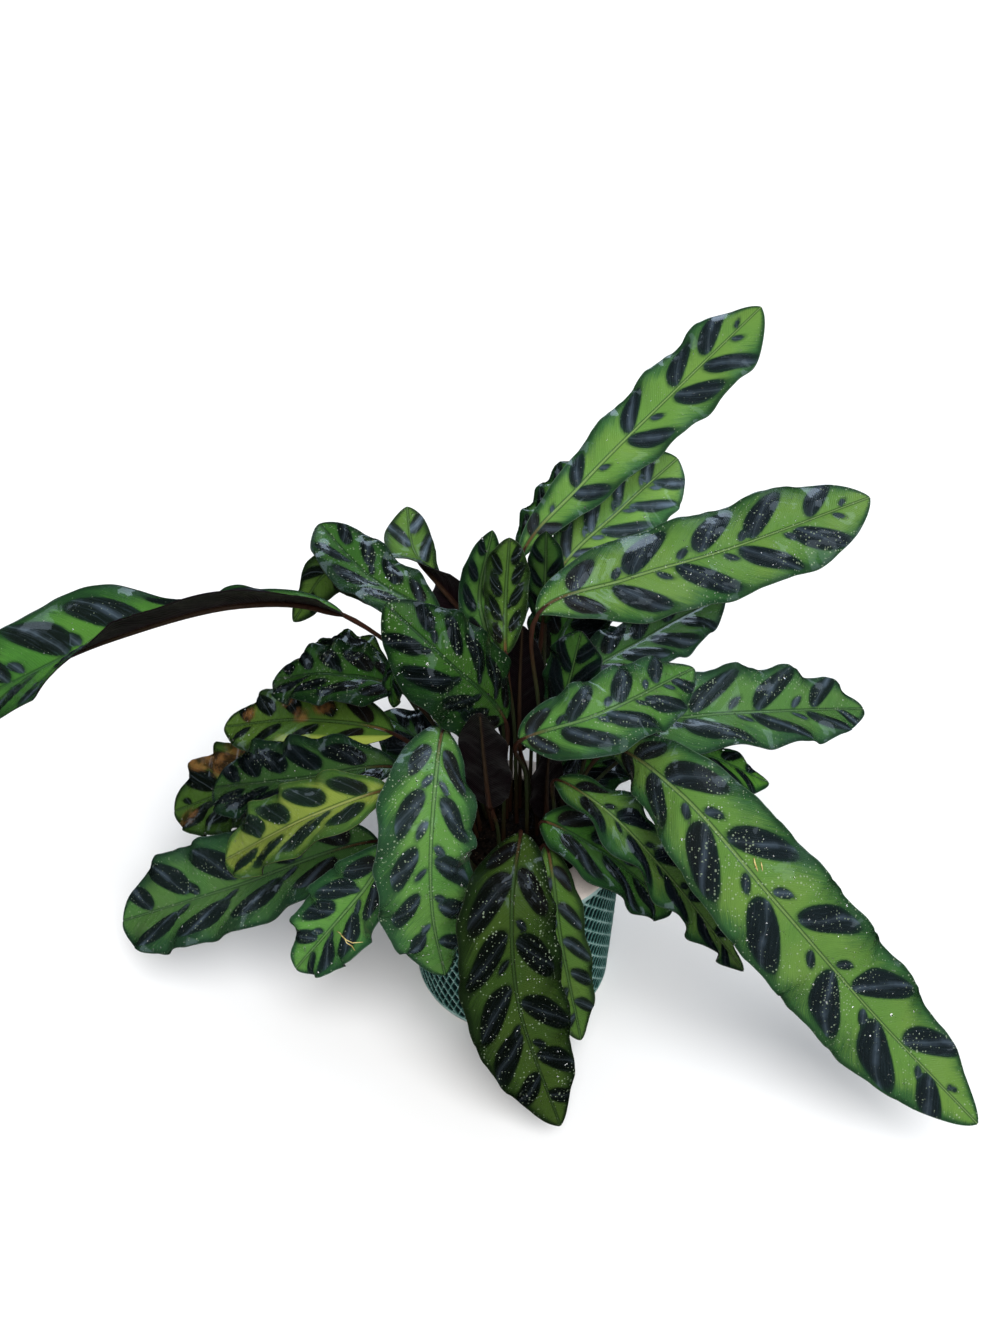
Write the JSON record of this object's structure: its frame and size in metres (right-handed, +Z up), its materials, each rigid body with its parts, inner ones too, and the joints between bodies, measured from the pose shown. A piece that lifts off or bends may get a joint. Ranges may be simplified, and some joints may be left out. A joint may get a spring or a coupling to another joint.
{
  "type": "potted rattlesnake plant",
  "caption": "Prayer plant with long wavy leaves, dark oval marks and maroon undersides, growing in a round glazed ceramic pot that stands on its flat foot.",
  "frame": {"origin": "centre of the pot's flat foot, on the surface it stands on", "axes": "+Z up; +X to the right and -Y to the front, where the long leaves arch over the rim"},
  "size_m": [0.5274, 0.3439, 0.3714],
  "materials": {
    "pot_glaze": "teal glaze pooled between pale raised ridges, with a cream collar",
    "soil": null,
    "leaf_bright": null,
    "leaf_yellow": null,
    "leaf_middle": null,
    "leaf_bluish": null,
    "leaf_deep": null,
    "leaf_olive": null,
    "leaf_underside": null
  },
  "bodies": {
    "root": {"pot": "pot_glaze", "soil": "soil", "leaf_tall_right": "leaf_bright", "leaf_back_right": "leaf_bright", "leaf_right_upper": "leaf_bright", "leaf_right_under": "leaf_bluish", "leaf_right_middle": "leaf_middle", "leaf_right_long": "leaf_bluish", "leaf_front_right_big": "leaf_bright", "leaf_right_small": "leaf_deep", "leaf_front_right_low": "leaf_bright", "leaf_front_right_dark": "leaf_deep", "leaf_front": "leaf_olive", "leaf_front_narrow": "leaf_olive", "leaf_front_left": "leaf_middle", "leaf_left_front_small": "leaf_middle", "leaf_left_low": "leaf_bluish", "leaf_left_yellow": "leaf_yellow", "leaf_left_dark": "leaf_bluish", "leaf_left_brown_edge": "leaf_olive", "leaf_left_spotted": "leaf_olive", "leaf_left_upper": "leaf_deep", "leaf_left_olive": "leaf_olive", "leaf_left_long": "leaf_deep", "leaf_upper_left": "leaf_deep", "leaf_centre_left": "leaf_deep", "leaf_back_olive": "leaf_olive", "leaf_back_left": "leaf_olive", "leaf_back_middle": "leaf_deep", "leaf_back_low_left": "leaf_bluish", "leaf_back_low_middle": "leaf_middle", "leaf_back_low_right": "leaf_bluish", "leaf_back_inner": "leaf_deep", "leaf_upright_left": "leaf_middle", "leaf_upright_right": "leaf_olive", "leaf_centre_dark": "leaf_middle", "leaf_centre_right": "leaf_middle", "leaf_centre_tall": "leaf_underside", "leaf_centre_short": "leaf_underside", "leaf_centre_low": "leaf_deep", "leaf_centre_shadow": "leaf_underside", "leaf_left_shadow": "leaf_deep", "leaf_left_inner": "leaf_deep"}
  },
  "joints": []
}
